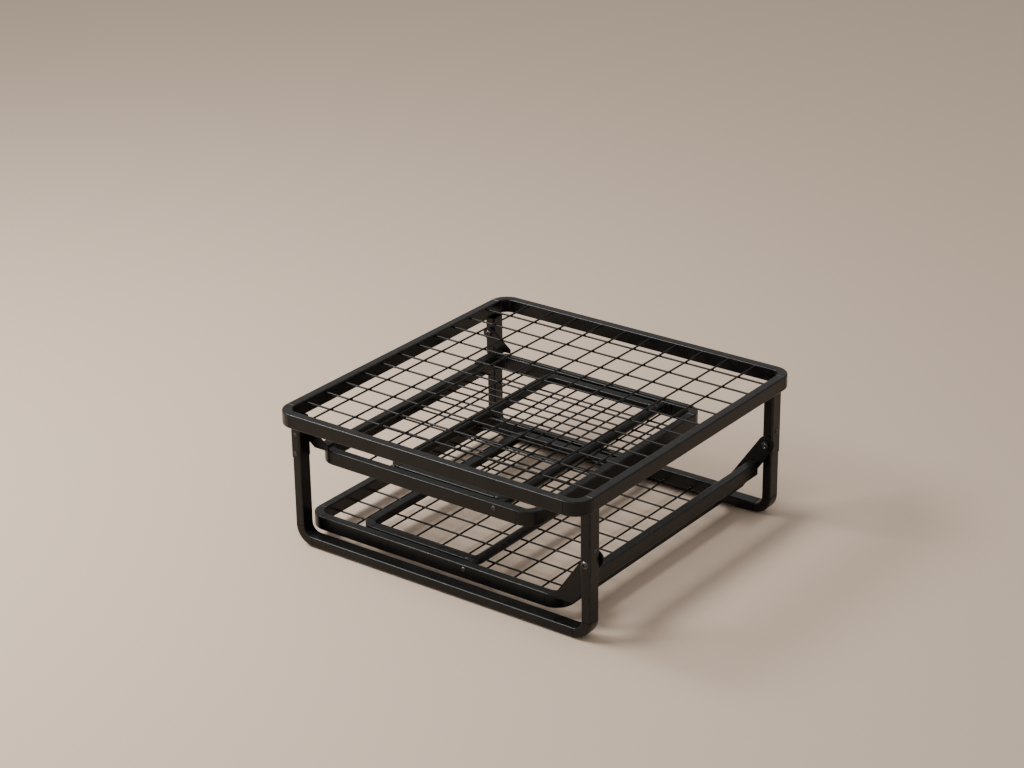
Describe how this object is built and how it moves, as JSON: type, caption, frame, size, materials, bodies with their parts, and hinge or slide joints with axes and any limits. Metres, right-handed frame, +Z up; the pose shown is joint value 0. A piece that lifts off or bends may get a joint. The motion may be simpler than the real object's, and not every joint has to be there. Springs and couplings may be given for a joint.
{
  "type": "folding cot",
  "caption": "Tri-fold metal cot with welded wire decks: the head and foot sections fold under a centre section that stands on two U-shaped hoops.",
  "frame": {"origin": "on the floor, under the middle of the centre section", "axes": "+X towards the foot hinge, +Y towards the back, +Z up"},
  "size_m": [0.735, 0.75, 0.306],
  "materials": {
    "frame": "satin black powder coat on steel tube",
    "wire": "satin black powder coat on welded wire",
    "bolt": "blackened steel, worn brighter on the heads",
    "pad": "matt black moulded plastic"
  },
  "bodies": {
    "centre_section": {"centre_front_rail": "frame", "centre_left_front_bend": "frame", "centre_left_rail": "frame", "centre_left_rear_bend": "frame", "centre_mesh": "wire", "centre_rear_rail": "frame", "centre_right_front_bend": "frame", "centre_right_rail": "frame", "centre_right_rear_bend": "frame", "floor_pads": "pad", "front_hoop": "frame", "front_left_sleeve": "frame", "front_right_sleeve": "frame", "hinge_bolts": "bolt", "hinge_nuts": "bolt", "rear_hoop": "frame", "rear_left_sleeve": "frame", "rear_right_sleeve": "frame", "sleeve_screws": "bolt"},
    "head_section": {"head_end_front_bend": "frame", "head_end_rail": "frame", "head_end_rear_bend": "frame", "head_front_arm": "frame", "head_front_rail": "frame", "head_hinge_front_bend": "frame", "head_hinge_rail": "frame", "head_hinge_rear_bend": "frame", "head_leg_bolts": "bolt", "head_leg_brackets": "frame", "head_mesh": "wire", "head_rear_arm": "frame", "head_rear_rail": "frame"},
    "foot_section": {"foot_end_front_bend": "frame", "foot_end_rail": "frame", "foot_end_rear_bend": "frame", "foot_front_arm": "frame", "foot_front_rail": "frame", "foot_hinge_front_bend": "frame", "foot_hinge_rail": "frame", "foot_hinge_rear_bend": "frame", "foot_leg_bolts": "bolt", "foot_leg_brackets": "frame", "foot_mesh": "wire", "foot_rear_arm": "frame", "foot_rear_rail": "frame", "foot_tie_bar": "frame"},
    "head_leg": {"head_leg_bosses": "frame", "head_leg_hoop": "frame", "head_leg_pads": "pad", "head_leg_tube": "frame"},
    "foot_leg": {"foot_leg_bosses": "frame", "foot_leg_hoop": "frame", "foot_leg_pads": "pad", "foot_leg_tube": "frame"}
  },
  "joints": [
    {"name": "foot_hinge", "type": "hinge", "parent": "centre_section", "child": "foot_section", "pos_m": [0.3495, 0, 0.165], "axis": [0, -1, 0], "range_deg": [0, 180]},
    {"name": "head_hinge", "type": "hinge", "parent": "centre_section", "child": "head_section", "pos_m": [-0.3495, 0, 0.242], "axis": [0, 1, 0], "range_deg": [0, 180]},
    {"name": "foot_leg_fold", "type": "hinge", "parent": "foot_section", "child": "foot_leg", "pos_m": [0.0365, 0, 0.0443], "axis": [0, 1, 0], "range_deg": [0, 90]},
    {"name": "head_leg_fold", "type": "hinge", "parent": "head_section", "child": "head_leg", "pos_m": [0.1125, 0, 0.1983], "axis": [0, 1, 0], "range_deg": [0, 90]}
  ],
  "couplings": [
    {"joint": "head_hinge", "follows": "foot_hinge", "ratio": 1},
    {"joint": "foot_leg_fold", "follows": "foot_hinge", "ratio": 0.5},
    {"joint": "head_leg_fold", "follows": "foot_hinge", "ratio": 0.5}
  ]
}
